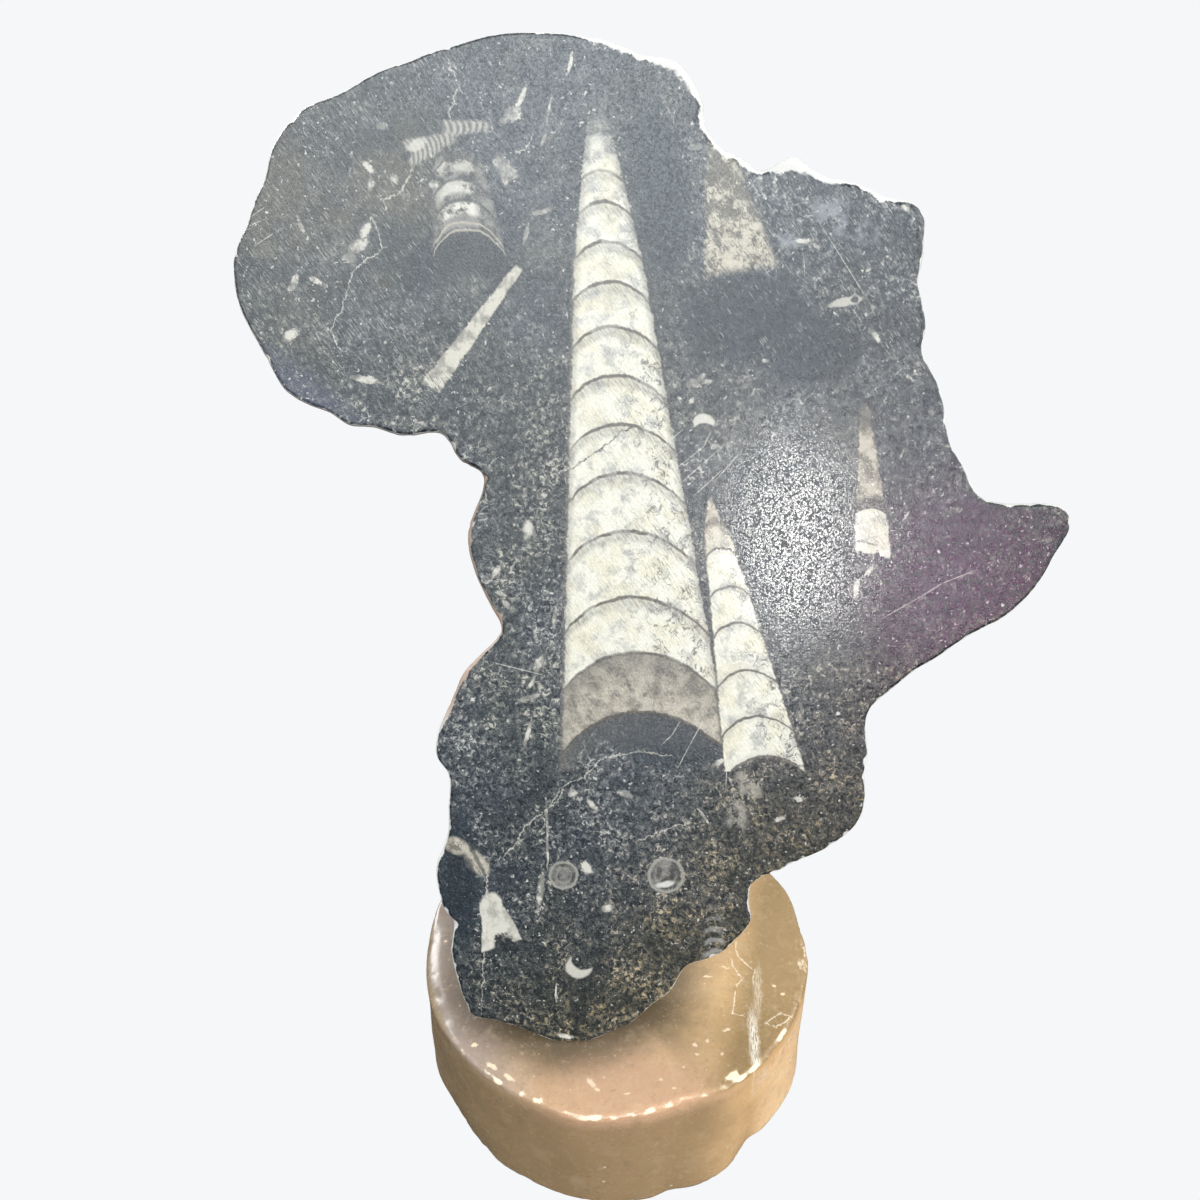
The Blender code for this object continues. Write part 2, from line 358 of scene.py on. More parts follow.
class Stone:
    """A stone's colour so far, and by name the places and noises that its pattern reads."""

    def __init__(self, r, **values):
        vars(self).update(values, r=r)

    def lay(self, share, colour, blend="MIX"):
        self.colour = self.r.mix(share, self.colour, colour, blend)

    def mottled(self, low, high, frayed):
        """Patches with frayed edges."""
        return (self.patches + self.fuzz * frayed).rise(low, high)

    def blotched(self, low, high, frayed, dark, pale):
        return self.r.mix(self.mottled(low, high, frayed), dark, pale)

    def ovals(self, shapes, soft=0.2, ragged=0, flat=None):
        """1 inside any of several ovals, with edges that fade over soft of their size. ragged is
        a number added to the distance from the middle."""
        near = reduce(Value.least, [to_oval(self.r, flat or self.flat, *s) for s in shapes])
        return (near + ragged).rise((1 + soft) ** 2, (1 - soft) ** 2)

    def oval(self, across, up, long, wide, turn=0, soft=0.15, ragged=0):
        return self.ovals([(across, up, long, wide, turn)], soft, ragged)

    def cone(self, axis, slant, half, arc=SEPTUM_ARC, tilt=0):
        """For a cone whose axis is at axis across at the foot's height and leans by slant: the
        distance across it, how deep inside its wall a place is, and its level along the septa."""
        across = self.across - axis + slant * self.up
        off = (across * across + self.out * self.out).root()
        radius = half * arc
        drop = radius - (radius * radius - (across * across).least(half * half)).root()
        return across, half - off, self.up + drop + tilt * across


def slab_millimetres(r):
    """Places in the slab's own frame, in millimetres."""
    return r.millimetres(centre=SLAB_FOOT, lean=90 - SLAB_LEAN)


def slab_stone(r):
    """The slab's stone, before any colour."""
    place = slab_millimetres(r)
    true_across, true_up, _out = r.across_up_out(place)
    grain = r.clouds(place, 0.85, 3, 0.8, 0.8)
    slanted = r.moved(place, turn=-54, size=(2.1, 0.3, 1))
    strokes = r.clouds(slanted, 1, 2, 0.6)
    loose = r.shaken(place, 3, (0.9, 0.9, 0), 4, 0.62)
    kinked_place = r.shaken(place, 1.6, (1.7, 1.7, 0), 3, 0.72)
    across, up, out = r.across_up_out(loose)
    return Stone(
        r, place=place, true_across=true_across, true_up=true_up, slanted=slanted,
        kinked_place=kinked_place, grain=grain, strokes=strokes, loose=loose, across=across, up=up,
        out=out, flat=r.joined(across, up), patches=r.clouds(loose, 3.2, 4, 0.6),
        warm=r.clouds(loose, 5.5, 2, 0.5), fuzz=(grain - 0.5) * 1.6 + (strokes - 0.5) * 0.8,
        straight=r.flattened(place), kinked=r.flattened(kinked_place),
    )


# Of these, what a fossil reads.
FOSSILS_READ = (
    "grain", "strokes", "loose", "across", "up", "out", "flat", "patches", "warm", "fuzz",
    "straight", "kinked", "colour",
)


def lay_limestone(stone):
    """Dark limestone: slate-blue and brown-grey clouds under a fine even grain, with slanted
    strokes, slips and a crumb of pale shell."""
    r, place = stone.r, stone.place
    u, v = stone.across, stone.up
    calm = 1 - stone.ovals(CALM_PATCHES, 0.35)
    thick = r.clouds(place, 8, 4, 0.62)
    lumps = r.clouds(place, 1.7, 3, 0.65)
    rubbed = abs(u - 4).rise(8, 30) * v.rise(118, 142)
    dusty = v.rise(150, 118).most(u.rise(10, 40)) * calm
    grainy = 0.3 + 0.24 * dusty + 0.6 * thick.rise(0.4, 0.62) * dusty
    grainy = grainy * (1 - 0.4 * u.rise(20, 34) * v.rise(66, 86))
    light = (stone.grain - 0.5) * grainy + (stone.strokes - 0.5) * (0.14 + 0.28 * rubbed)
    light = light + (lumps - 0.5) * (0.14 + 0.26 * dusty) + (thick - 0.5) * 0.26 * calm
    light = light + 0.495 - (1 - calm) * (0.04 + 0.04 * v.rise(160, 148))
    light = light - v.rise(66, 50) * 0.02 * (1 + 2.4 * u.rise(12, -4))
    light = light - u.rise(24, 50) * 0.02 - u.rise(52, 62) * v.rise(112, 100) * 0.05
    stone.colour = r.node("ValToRGB", {"stops": STONE_TONES}, {0: light})
    cloud = r.clouds(place, 24, 3, 0.6)
    stone.lay(cloud.rise(0.38, 0.6), (0.93, 0.92, 0.84), "MULTIPLY")
    stone.lay((1 - calm) * 0.8, (0.74, 0.95, 1), "MULTIPLY")
    brown = (u * 0.9 - v).rise(-50, 10)
    stone.lay(brown, (0.95, 0.75, 0.48), "MULTIPLY")
    sliver = abs(lumps - 0.5).rise(0.012, 0.004) * stone.patches.rise(0.5, 0.6) * calm
    stone.lay(sliver * 0.4, (0.4, 0.4, 0.36))
    stroke = r.flecks(stone.slanted, 1.3, 0.3, 0.1, 0.45)
    stone.lay(stroke * (0.15 + 0.35 * rubbed), (0.48, 0.48, 0.44))
    haze = stone.ovals(((-42, 166, 15, 19, 0),), 0.95, stone.fuzz * 0.5)
    stone.lay(haze * (0.12 + 0.25 * cloud.rise(0.4, 0.6)), (0.15, 0.135, 0.095))
    blue = stone.oval(-49, 125.5, 13, 4.5, -38, 0.8, stone.fuzz * 0.5)
    stone.lay(blue * 0.4, (0.085, 0.1, 0.15))
    for size, reach, share, bright in ((0.85, 0.26, 0.38, 0.65), (2.6, 0.14, 0.3, 0.8)):
        fleck = r.flecks(stone.kinked_place, size, reach, 0.07, 1 - share)
        stone.lay(fleck * (0.3 + 0.7 * calm) * bright, (0.6, 0.6, 0.54))


# The limestone's grain from its darkest to its palest.
STONE_TONES = (
    (0.26, (0.004, 0.008, 0.013)), (0.4, (0.015, 0.023, 0.031)), (0.5, (0.042, 0.053, 0.062)),
    (0.6, (0.135, 0.142, 0.14)), (0.74, (0.42, 0.42, 0.385)),
)


def coated(r, colour, *layers):
    """A colour under layers of others, each given as its share and its colour."""
    for share, tone in layers:
        colour = r.mix(share, colour, tone)
    return colour


def calcite(stone, right):
    """Cream calcite of a filled chamber, with soft grey patches, slanted fibres and dark hair
    cracks, most of them to the right."""
    r = stone.r
    plain = r.mix(stone.patches.rise(0.3, 0.52), (0.36, 0.365, 0.33), (0.6, 0.595, 0.505))
    shade = stone.strokes.rise(0.44, 0.3) * (0.2 + 0.45 * right) * stone.warm.rise(0.34, 0.5)
    crack = r.clouds(stone.loose, 1.9, 1, 0.5, 1.3)
    hair = abs(crack - 0.5).rise(0.055, 0.015) * stone.patches.rise(0.54, 0.45)
    return coated(
        r, plain, (stone.warm.rise(0.46, 0.62) * 0.5, (0.56, 0.53, 0.375)),
        (stone.grain.rise(0.48, 0.3) * 0.35, (0.24, 0.24, 0.215)),
        (stone.strokes.rise(0.54, 0.7) * 0.55, (0.7, 0.7, 0.63)),
        (shade, (0.17, 0.165, 0.145)), (hair * (0.12 + 0.7 * right), (0.06, 0.057, 0.05)),
    )


def lay_main_cone(stone):
    """The largest cone, from its faint tip down to the dark body chamber."""
    r = stone.r
    tip = MAIN_CONE_TIP - stone.up
    half = (1.55 + 0.168 * tip).least(3.3 + 0.107 * tip).most(0.01)
    across, inside, level = stone.cone(6.3 + 0.0788 * 168.5, 0.0788, half, tilt=0.022)
    inside = inside + stone.fuzz * 0.55
    filling = calcite(stone, across.rise(-6, 9) * (0.35 + 0.65 * stone.up.rise(150, 128)))
    under = nearest(level, MAIN_SEPTA) + stone.fuzz * 0.1
    shade = nearest(level + 1.1, MAIN_SEPTA).rise(1.6, 0.2)
    shade = shade * (0.3 + 0.25 * stone.strokes.rise(0.6, 0.4))
    dull = level.rise(79.6, 79.2)
    lowest = stone.blotched(0.2, 0.72, 0.35, (0.115, 0.108, 0.092), (0.39, 0.365, 0.295))
    filling = coated(
        r, filling, (shade, (0.16, 0.155, 0.135)), (dull, lowest),
        (dull * level.rise(72, 79.5) * 0.5, (0.07, 0.07, 0.063)),
    )
    wall = inside.rise(-0.9, -0.1) * level.rise(60, 68) * tip.rise(14, 30)
    stone.lay(wall * 0.65, r.mix(across.rise(-2, 2), (0.135, 0.13, 0.115), (0.035, 0.04, 0.045)))
    spread = inside.rise(-0.2, 0.35)
    living = level.rise(68, 67.4) * inside.rise(-0.5, 2.5) * stone.up.rise(56.5, 64)
    stone.lay(living * (0.9 - 0.5 * stone.grain.rise(0.56, 0.68)), (0.046, 0.054, 0.059))
    faint = (tip - 1 + (stone.patches - 0.5) * 8 + inside).rise(0, 13)
    fill = level.rise(67.4, 67.9) * spread * faint
    fill = fill * (stone.up + inside).rise(57, 66)
    stone.lay(fill, filling)
    line = under.rise(0.52, 0.16) * tip.rise(9, 14)
    stone.lay(line * inside.rise(-0.3, 0.2) * (0.6 + 0.3 * stone.warm.rise(0.4, 0.5)), DARK_LINE)
    rim = inside.rise(1.5, 0.3)
    stone.lay(rim * fill * 0.45, r.mix(across.rise(-2, 2), (0.24, 0.23, 0.2), (0.1, 0.1, 0.09)))


def lay_second_cone(stone):
    """The smaller cone right of the largest, with a tan tip."""
    tip = SECOND_CONE_TIP - stone.up
    half = (tip * 0.29).least(1.45 + 0.118 * tip).most(0.01)
    axis = 26.4 + 0.215 * SECOND_CONE_TIP
    across, inside, level = stone.cone(axis, 0.215, half, tilt=-0.09)
    inside = inside + stone.fuzz * 0.4
    tan = stone.blotched(0.36, 0.6, 0.2, (0.13, 0.115, 0.085), (0.41, 0.37, 0.29))
    under = nearest(level, SECOND_SEPTA) + stone.fuzz * 0.08
    filling = coated(
        stone.r, calcite(stone, across.rise(-3, 5)), (level.rise(97, 104) * 0.85, tan),
        (nearest(level, (104.7,)).rise(1, 0.3) * 0.75, (0.07, 0.062, 0.05)),
        (under.rise(1.8, 0.3) * 0.25, (0.22, 0.215, 0.19)),
    )
    wall = inside.rise(-0.7, -0.1) * level.rise(50, 58) * tip.rise(3, 10)
    stone.lay(wall * stone.up.rise(56.5, 61) * 0.7, (0.075, 0.075, 0.07))
    spread = inside.rise(-0.15, 0.3)
    below = level.rise(58.6, 58.2) * stone.up.rise(56.5, 58.5) * spread
    stone.lay(below * 0.6, (0.05, 0.047, 0.042))
    stone.lay(level.rise(58.6, 59.1) * spread * tip.rise(0.5, 3), filling)
    line = under.rise(0.38, 0.12) * level.rise(58, 59)
    stone.lay(line * inside.rise(-0.2, 0.2) * 0.88, DARK_LINE)


def lay_right_cone(stone):
    """The small cone near the right shore: brown tip, one white chamber, a ragged end."""
    r = stone.r
    tip = 128.5 - stone.up
    half = (0.45 + 0.105 * tip).least(3.3).most(0.01)
    across, inside, level = stone.cone(55.4 + 0.088 * 126, 0.088, half, arc=1.5)
    spread = (inside + stone.fuzz * 0.4).rise(-0.25, 0.3)
    brown = stone.blotched(0.34, 0.62, 0.2, (0.15, 0.135, 0.105), (0.44, 0.405, 0.32))
    stone.lay(spread * tip.rise(0, 9) * level.rise(108.2, 109.4) * 0.85, brown)
    stone.lay(spread * level.rise(110.2, 108.2) * level.rise(106.6, 107) * 0.9, (0.05, 0.05, 0.045))
    ragged = (level + 4.5 * (stone.patches - 0.5) + 0.15 * across).rise(98.6, 99.1)
    white = r.mix(0.25, calcite(stone, across.rise(-3, 5)), (0.25, 0.25, 0.22))
    stone.lay(spread * ragged * level.rise(107.2, 106.8), white)
    line = nearest(level, (107.1,)).rise(0.3, 0.1)
    stone.lay(line * spread * 0.8, (0.04, 0.04, 0.035))
    slip = nearest(level + 0.5 * across, (100.2,)).rise(0.35, 0.1) * across.rise(1, -0.5)
    stone.lay(slip * spread * 0.7, (0.05, 0.05, 0.045))


def lay_shadow_cone(stone):
    """The dim cone at upper left, with pale crescents over its dark body chamber."""
    tip = 190 - stone.up
    half = 2.4 + 0.115 * tip
    across, inside, level = stone.cone(-19.6 + 0.12 * 167, 0.12, half, arc=1.05)
    spread = (inside + stone.fuzz * 0.6).rise(-0.4, 0.8) * level.rise(172.8, 171)
    grey = stone.blotched(0.36, 0.62, 0.15, (0.06, 0.064, 0.06),
                 (0.22, 0.22, 0.195))
    stone.lay(spread * level.rise(158.3, 158.8) * 0.85, grey)
    middle = abs(across + 0.8).rise(4.4, 2)
    row = nearest(level, (169.6, 165.7, 161.8)).rise(1.7, 0.6) * (0.5 + 0.5 * level.rise(168, 162))
    pale = stone.mottled(0.28, 0.54, 0.25)
    stone.lay(spread * middle * row * pale, (0.56, 0.55, 0.48))
    line = nearest(level, (170.7, 166.9, 163.2)).rise(0.45, 0.12)
    stone.lay(line * spread * 0.7, (0.05, 0.052, 0.05))
    arc = nearest(level, (159.3, 158)).rise(0.34, 0.1)
    stone.lay(arc * inside.rise(-0.2, 0.3) * 0.75, (0.36, 0.335, 0.265))
    body = spread * level.rise(157.9, 157.4) * level.rise(147, 152)
    stone.lay(body * 0.8, (0.035, 0.041, 0.046))


def taper(stone, tip, end, half):
    """A thin cone from its tip to the middle of its wide end: the share of its length, the
    distance across it in shares of its own half width, and how deep inside it a place is."""
    run = Vector(end) - Vector(tip)
    u, v = stone.across - tip[0], stone.up - tip[1]
    along = u * (run.x / run.length_squared) + v * (run.y / run.length_squared)
    side = (v * run.x - u * run.y) * (1 / (run.length * half))
    off = (side * side + (stone.out / half) * (stone.out / half)).root()
    return along, side, (along - off) * half


def lay_slim_cone(stone):
    """The slim white cone, ragged and hatched at its wide end."""
    along, _side, deep = taper(stone, (3.7, 167.7), (-25.7, 129.2), 1.95)
    deep = deep + stone.fuzz * 0.35
    slim = deep.rise(-0.2, 0.25) * along.rise(0.42, 0.435)
    slim = slim * (along + stone.fuzz * 0.02).rise(1, 0.985)
    tone = stone.r.mix(stone.patches.rise(0.36, 0.54), (0.24, 0.235, 0.2), (0.49, 0.475, 0.4))
    stone.lay(slim * 0.95, tone)
    hatch = stone.strokes.rise(0.52, 0.36) * along.rise(0.88, 0.97)
    stone.lay(slim * hatch * 0.8, (0.07, 0.07, 0.065))


def lay_ribbed_shells(stone):
    """Two ribbed shells, one behind the mouth of the other."""
    for tip, end, half, ribs, start, strength in (
        ((-5, 176.9), (-22.4, 175.7), 1.7, 15, 0.44, 0.85),
        ((-14.5, 176.4), (-29.2, 171.2), 2.7, 17, 0.34, 0.8),
    ):
        along, side, deep = taper(stone, tip, end, half)
        rib = ((along - 0.06 * side * side + stone.fuzz * 0.012) * (ribs * 2 * math.pi)).wave()
        body = (deep + stone.fuzz * 0.6).rise(-0.3, 0.7)
        body = body * along.rise(1.02, 0.97) * along.rise(start, start + 0.15)
        stone.lay(body * strength * (0.6 + 0.4 * rib.rise(-1, 0.8)), (0.36, 0.355, 0.31))
        stone.lay(body * rib.rise(0.5, -0.9) * 0.62, (0.085, 0.085, 0.078))
    fibres = stone.oval(-27.4, 172.9, 1.7, 0.9, 30, 0.4, stone.fuzz)
    stone.lay(fibres * 0.7, CREAM)
    mouth = stone.oval(-29.3, 170.9, 1.1, 0.7, 30, 0.3, stone.fuzz * 0.5)
    stone.lay(mouth * 0.85, (0.035, 0.04, 0.045))


def lay_patch_cone(stone):
    """The broad blotched cone at upper right, cut off slantwise."""
    right = stone.across - 31 + 0.41 * (stone.up - 169.6) + stone.fuzz * 0.7
    bottom = stone.up - 149.9 - 0.12 * (stone.across - 28) + stone.fuzz * 0.5
    patch = (stone.across - 25.2 + stone.fuzz * 0.7).rise(-0.5, 1.2) * right.rise(1, -0.8)
    patch = patch * bottom.rise(-0.8, 1.6) * stone.up.rise(178, 170)
    pale = (stone.patches + stone.fuzz * 0.5 - (stone.up - 158) * 0.012).rise(0.34, 0.68)
    stone.lay(patch * 0.85, stone.r.mix(pale, (0.12, 0.112, 0.088), (0.5, 0.47, 0.37)))


def lay_long_shell(stone):
    """A long shell with a dark eye and a haze of crushed shell round it."""
    r = stone.r
    haze = stone.ovals(((50.5, 159.8, 5.5, 2.4, -28), (40.5, 156.3, 2, 1.8, 0)), 0.5,
                 stone.fuzz)
    stone.lay(haze * stone.patches.rise(0.42, 0.62) * 0.5, (0.3, 0.33, 0.345))
    stone.lay(stone.oval(51.4, 145, 3, 0.75, 12, 0.25, stone.fuzz * 0.8) * 0.85,
              (0.42, 0.41, 0.36))
    disc = to_oval(r, stone.flat, 53.1, 145.4, 1, 1).root()
    stone.lay(abs(disc - 0.85).rise(0.24, 0.06) * 0.5, (0.34, 0.34, 0.3))
    stone.lay(stone.oval(53.1, 145.4, 0.7, 0.5, 12, 0.3), (0.04, 0.042, 0.045))


def lay_low_shells(stone):
    """What lies low on the face: a hollowed wedge, cut rings, a crescent and a ribbed shell."""
    r, flat, fuzz = stone.r, stone.flat, stone.fuzz
    # The wedge: round at the top, straight on the left, notched at the foot.
    side = (stone.across + 17.4 + fuzz * 0.15).rise(-0.15, 0.25)
    slope = (stone.across + 14 - 0.5 * (31.2 - stone.up)).most(stone.across + 9.1)
    cap = stone.oval(-15.4, 28.4, 2.3, 3.1, 0, 0.12)
    notch = stone.oval(-12.5, 19.8, 2.1, 3.5, 22, 0.2, fuzz)
    foot = (stone.up - 19 - 0.35 * (stone.across + 17.6)).rise(-0.2, 0.4)
    wedge = (side * (slope + fuzz * 0.2).rise(0.2, -0.25) * stone.up.rise(29, 28.2)).most(cap)
    wedge = wedge * foot * (1 - notch)
    tone = stone.blotched(0.34, 0.56, 0.1, (0.33, 0.32, 0.275), CREAM)
    stone.lay(wedge * 0.95, tone)
    # The patch at the left edge, cream above and dark-lined grey below.
    edge = stone.ovals(((-22, 41, 2.6, 1.5, -20), (-18, 37.5, 2.8, 1.6, -50)), 0.35, fuzz)
    lined = (stone.across * 3.1 + stone.up * 1.5).wave().rise(-0.2, 0.8)
    lined = lined * stone.across.rise(-21, -19.5)
    cream = stone.blotched(0.36, 0.6, 0.4, (0.15, 0.14, 0.115), (0.46, 0.43, 0.35))
    stone.lay(edge * 0.85, r.mix(lined * 0.8, cream, (0.08, 0.08, 0.072)))
    # The crescent, thicker at its left.
    full = stone.oval(1.9, 16.3, 2.6, 2.4, 0, 0.12, fuzz * 0.2)
    gap = stone.oval(2.9, 17.7, 2.5, 2, 0, 0.12, fuzz * 0.2)
    stone.lay(full * (1 - gap) * 0.8, CREAM)
    # Rings: shells cut straight across, one with a fine net, one grey with two dark eyes.
    for across, up, radius, strength in ((-1.1, 35.1, 3, 0.75), (19, 35.1, 3.8, 0.75)):
        near = to_oval(r, flat, across, up, radius, radius)
        disc = near.root() + fuzz * 0.08
        stone.lay(disc.rise(1, 0.9) * strength, r.mix(
            stone.patches.rise(0.4, 0.56), (0.05, 0.05, 0.046), (0.17, 0.165, 0.15)))
        stone.lay(abs(disc - 0.88).rise(0.13, 0.03) * strength, (0.27, 0.27, 0.24))
        stone.lay(abs(disc - 0.5).rise(0.1, 0.02) * strength * 0.55, (0.27, 0.27, 0.24))
    eyes = stone.ovals(((17.6, 35.6, 0.6, 1.1, 0), (20.3, 36, 0.7, 1.2, 0)), 0.4, fuzz)
    stone.lay(eyes * 0.8, (0.03, 0.032, 0.034))
    stone.lay(stone.oval(18.8, 33.3, 1.6, 0.6, 8, 0.4, fuzz) * 0.8, (0.56, 0.56, 0.52))
    # Blotched shell below the foot of the second cone.
    blotch = stone.ovals(((32.6, 47.6, 2, 3.4, 8), (35, 53.6, 2.2, 3, 20)), 0.4, fuzz * 1.2)
    stone.lay(blotch * stone.mottled(0.4, 0.62, 0.3) * 0.7, (0.3, 0.285, 0.24))
    # The ribbed shell at the lower right.
    along, side, deep = taper(stone, (26.9, 45), (29, 15.5), 2.8)
    rib = ((along - 0.05 * side * side + fuzz * 0.006) * 82).wave()
    body = (deep + fuzz * 0.5).rise(-0.2, 0.8) * along.rise(0.35, 0.9) * along.rise(1.02, 0.97)
    stone.lay(body * rib.rise(-0.5, 0.9) * 0.6, (0.31, 0.3, 0.28))


def lay_dome(stone):
    """The small white dome over a dark arc, just right of the main cone."""
    dome = stone.oval(25.4, 122.9, 2, 1.6, 8, 0.15, stone.fuzz * 0.4)
    under = stone.oval(25.5, 121.4, 2, 1.5, 8, 0.15)
    stone.lay(dome * (1 - under) * 0.9, CREAM)
    stone.lay(under * 0.6, (0.022, 0.028, 0.034))


def lay_bits(stone, part):
    """The loose bits, veins and scratches of one part of the face."""
    r = stone.r
    bits = inside_of(SHELL_BITS, part)
    if bits:
        share = stone.ovals(bits, 0.3, stone.fuzz * 2.2)
        tone = r.mix(stone.patches.rise(0.42, 0.6), (0.3, 0.295, 0.26), CREAM)
        stone.lay(share * (0.45 + 0.5 * stone.patches.rise(0.34, 0.56)), tone)
    for lines, width, strength, colour in (
        (VEINS, 0.11, 0.8, CREAM), (CRACK, 0.16, 1, DARK_LINE), (SCRATCHES, 0.08, 0.75, CREAM),
    ):
        links = inside_of(links_of(lines, width), part)
        if links:
            flat = stone.straight if lines is SCRATCHES else stone.kinked
            share = stone.ovals(links, 0.45, 0, flat)
            stone.lay(share * strength * (0.45 + 0.55 * stone.grain.rise(0.4, 0.54)), colour)


# The parts of the face: left, foot, right and top. Each holds every shape that reaches into it.
LEFT, FOOT, RIGHT, TOP = -60, -5, 90, 200
PARTS_FOOT, PARTS_TOP = 56, 126.5
# The left and right of the middle part, and of the part above it that holds the cone's tip.
MIDDLE = (-3.4, 47)
TIP = (-1.4, 20.6)
PARTS = {
    "low": ((LEFT, FOOT, RIGHT, PARTS_FOOT), (lay_low_shells,)),
    "middle_left": ((LEFT, PARTS_FOOT, MIDDLE[0], PARTS_TOP), ()),
    "middle": (
        (MIDDLE[0], PARTS_FOOT, MIDDLE[1], PARTS_TOP), (lay_dome, lay_main_cone, lay_second_cone),
    ),
    "middle_right": ((MIDDLE[1], PARTS_FOOT, RIGHT, PARTS_TOP), (lay_right_cone,)),
    "top_left": (
        (LEFT, PARTS_TOP, TIP[0], TOP), (lay_shadow_cone, lay_slim_cone, lay_ribbed_shells),
    ),
    "top_middle": ((TIP[0], PARTS_TOP, TIP[1], TOP), (lay_main_cone,)),
    "top_right": ((TIP[1], PARTS_TOP, RIGHT, TOP), (lay_patch_cone, lay_long_shell)),
}


def fossil_face(name):
    """The polished face: dark limestone with chambered cones, shells, veins and scratches. Each
    part of it is one surface of its own, so that a render works out only what lies there."""
    r = material_recipe(name, "2D")
    stone = slab_stone(r)
    worn = r.attribute("worn")
    # The pale rim is partly white bruising and partly a painted highlight on the ground bevel.
    bruise_and_sheen = (worn + (stone.patches - 0.5) * 0.6 + stone.fuzz * 0.3).rise(0.14, 0.42)
    bruise_and_sheen = bruise_and_sheen * worn.rise(0, 0.1)
    peel = r.clouds(stone.place, 0.38, 2, 0.6, 0.3)
    bump = r.bump(peel.rise(0.34, 0.52) + peel, 0.01 * MM, 1)
    dull = r.clouds(stone.place, 6, 3, 0.6)
    _near, pick = r.cells(stone.place, 0.36)
    gloss = 0.04 + 0.05 * dull + 0.3 * pick[1].rise(0.52, 0.84) + 0.45 * bruise_and_sheen
    lay_limestone(stone)
    given = {name: getattr(stone, name) for name in FOSSILS_READ}
    # The colour of that bruising and painted highlight: pale, and brown at the west bay.
    bay = abs(stone.true_up - 92).rise(30, 22) * stone.true_across.rise(-6, -11)
    rubbed = r.mix(bay, (0.66, 0.66, 0.62), (0.4, 0.3, 0.23))
    surfaces = {}
    for part, (place, layers) in PARTS.items():

        def work(inner, own, place=place, layers=layers):
            piece = Stone(inner, **own)
            for lay in layers:
                lay(piece)
            lay_bits(piece, place)
            return piece.colour

        colour = r.mix(bruise_and_sheen * 0.9, apart(r, "fossils_" + part, given, work), rubbed)
        surfaces[part] = r.surface(colour, gloss, bump, IOR=1.52)
    across, up = stone.true_across, stone.true_up
    middle = r.either(across.above(MIDDLE[0]), surfaces["middle_left"], surfaces["middle"])
    middle = r.either(across.above(MIDDLE[1]), middle, surfaces["middle_right"])
    top = r.either(across.above(TIP[0]), surfaces["top_left"], surfaces["top_middle"])
    top = r.either(across.above(TIP[1]), top, surfaces["top_right"])
    low = r.either(up.above(PARTS_FOOT), surfaces["low"], middle)
    return r.finish(r.either(up.above(PARTS_TOP), low, top))


def sawn_back(name):
    """The back, where only the largest cone is deep enough to come through the limestone."""
    r = material_recipe(name)
    stone = slab_stone(r)
    lay_limestone(stone)
    lay_main_cone(stone)
    bump = r.bump(stone.strokes, 0.1 * MM, 0.5)
    return r.finish(r.surface(stone.colour, 0.3 + 0.3 * stone.patches, bump))


def rough_stone(name):
    """The struck edge: dull dark limestone, paler where bruised or ground, and with a painted rim
    highlight.
    """
    r = material_recipe(name)
    place = slab_millimetres(r)
    across, up, _out = r.across_up_out(place)
    worn = r.attribute("worn")
    cloud = r.clouds(place, 9, 5, 0.6)
    crumb = r.clouds(place, 0.6, 4, 0.7)
    stone = Stone(r, colour=r.mix(cloud.rise(0.35, 0.65), (0.14, 0.145, 0.15), (0.25, 0.235, 0.21)))
    stone.lay(crumb.rise(0.5, 0.75) * 0.4, (0.36, 0.34, 0.3))
    bay = abs(up - 82).rise(26, 16) * across.rise(-6, -11)
    stone.lay(bay * cloud.rise(0.3, 0.5) * 0.85, (0.46, 0.34, 0.26))
    # Painted highlight and bruising: paler near the rim.
    stone.lay(worn.rise(0.1, 0.7) * crumb.rise(0.34, 0.5), (0.62, 0.61, 0.56))
    bump = r.bump(cloud * 2 + crumb, 0.3 * MM, 0.6)
    return r.finish(r.surface(stone.colour, 0.62 - 0.25 * worn, bump))


# ---- the base's stone

# Millimetres from the middle of the base, across and back.
BASE_VEINS = (
    ((24.9, -4.9), (25.1, -6.7), (26.7, -9.9), (25.1, -12.1), (24.2, -17.1), (23.8, -18.2),
     (26, -18.9)),
    ((26.4, 0), (26, -2.7), (26.3, -3.7), (28.1, -6.4), (29.6, -7.7), (28.9, -10.9)),
    ((30.5, -20.5), (32, -19.2), (33.7, -18.3), (35.7, -18.9), (34, -20.6), (32.2, -21.5),
     (30.5, -20.5)),
)
BASE_BLOBS = (
    (15.7, -25.5, 0.45, 0.35), (16, -27.6, 0.5, 0.4), (22.3, -22.2, 0.7, 0.3, 20),
    (18.2, -24.6, 0.4, 0.3, 60), (-5, -33.8, 1.2, 0.5, -50), (-3.8, -35.2, 0.35, 0.35),
    (-24.5, -30.2, 1.2, 0.4, -40), (-21, -32.7, 1.3, 0.4, -35), (34.8, -13.6, 0.5, 0.35),
    (23.4, -6.9, 0.9, 0.15, -20), (19.5, -9.2, 0.9, 0.15, -10), (2, -36, 0.5, 0.25, 10),
    (-28.4, -25.5, 0.5, 0.5), (8.5, -33, 0.3, 0.3), (21, -27.5, 0.35, 0.3),
    (33.2, -11.5, 0.4, 0.3), (13, -30.5, 0.3, 0.25), (11, -35, 0.4, 0.2),
)


